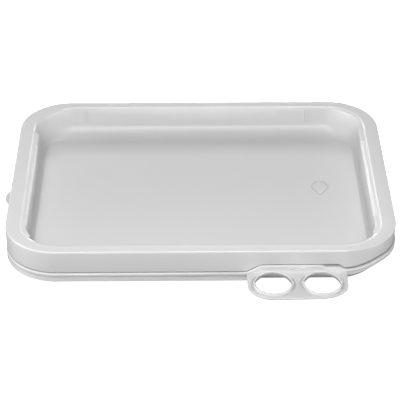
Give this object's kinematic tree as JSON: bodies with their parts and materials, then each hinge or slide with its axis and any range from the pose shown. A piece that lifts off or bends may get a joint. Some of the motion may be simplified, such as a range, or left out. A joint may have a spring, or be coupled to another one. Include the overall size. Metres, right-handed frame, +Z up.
{
  "type": "wet palette",
  "caption": "Flat wet palette for paint: a moulded tray with a finger tab, a lift-off recessed lid, a sponge and a pad of palette paper.",
  "frame": {"origin": "middle of the face that the tray stands on, below the middle of the closed box without its tab", "axes": "+X to the right along the 406 mm side, +Y to the back, +Z up; the finger tab is at the front right"},
  "size_m": [0.4174, 0.3496, 0.0444],
  "materials": {
    "tray_plastic": "satin milky polyethylene, as moulded",
    "lid_plastic": "satin milky polyethylene, as moulded",
    "sponge": "compressed cellulose sponge, matt and porous",
    "paper": "smooth translucent palette paper"
  },
  "bodies": {
    "tray": {"tray": "tray_plastic"},
    "sponge": {"sponge": "sponge"},
    "sheet_pad": {"palette_sheet_01": "paper", "palette_sheet_02": "paper", "palette_sheet_03": "paper", "palette_sheet_04": "paper", "palette_sheet_05": "paper", "palette_sheet_06": "paper", "palette_sheet_07": "paper", "palette_sheet_08": "paper", "palette_sheet_09": "paper", "palette_sheet_10": "paper", "palette_sheet_11": "paper", "palette_sheet_12": "paper", "palette_sheet_13": "paper", "palette_sheet_14": "paper", "palette_sheet_15": "paper", "palette_sheet_16": "paper", "palette_sheet_17": "paper", "palette_sheet_18": "paper", "palette_sheet_19": "paper", "palette_sheet_20": "paper", "palette_sheet_21": "paper", "palette_sheet_22": "paper", "palette_sheet_23": "paper", "palette_sheet_24": "paper", "palette_sheet_25": "paper", "palette_sheet_26": "paper", "palette_sheet_27": "paper", "palette_sheet_28": "paper", "palette_sheet_29": "paper", "palette_sheet_30": "paper"},
    "lid": {"lid": "lid_plastic"}
  },
  "joints": [
    {"name": "sponge_lift", "type": "slide", "parent": "tray", "child": "sponge", "axis": [0, 0, 1], "range_m": [0, 0.05]},
    {"name": "sheet_pad_lift", "type": "slide", "parent": "sponge", "child": "sheet_pad", "axis": [0, 0, 1], "range_m": [0, 0.05]},
    {"name": "lid_lift", "type": "slide", "parent": "sheet_pad", "child": "lid", "axis": [0, 0, 1], "range_m": [0, 0.1]}
  ]
}
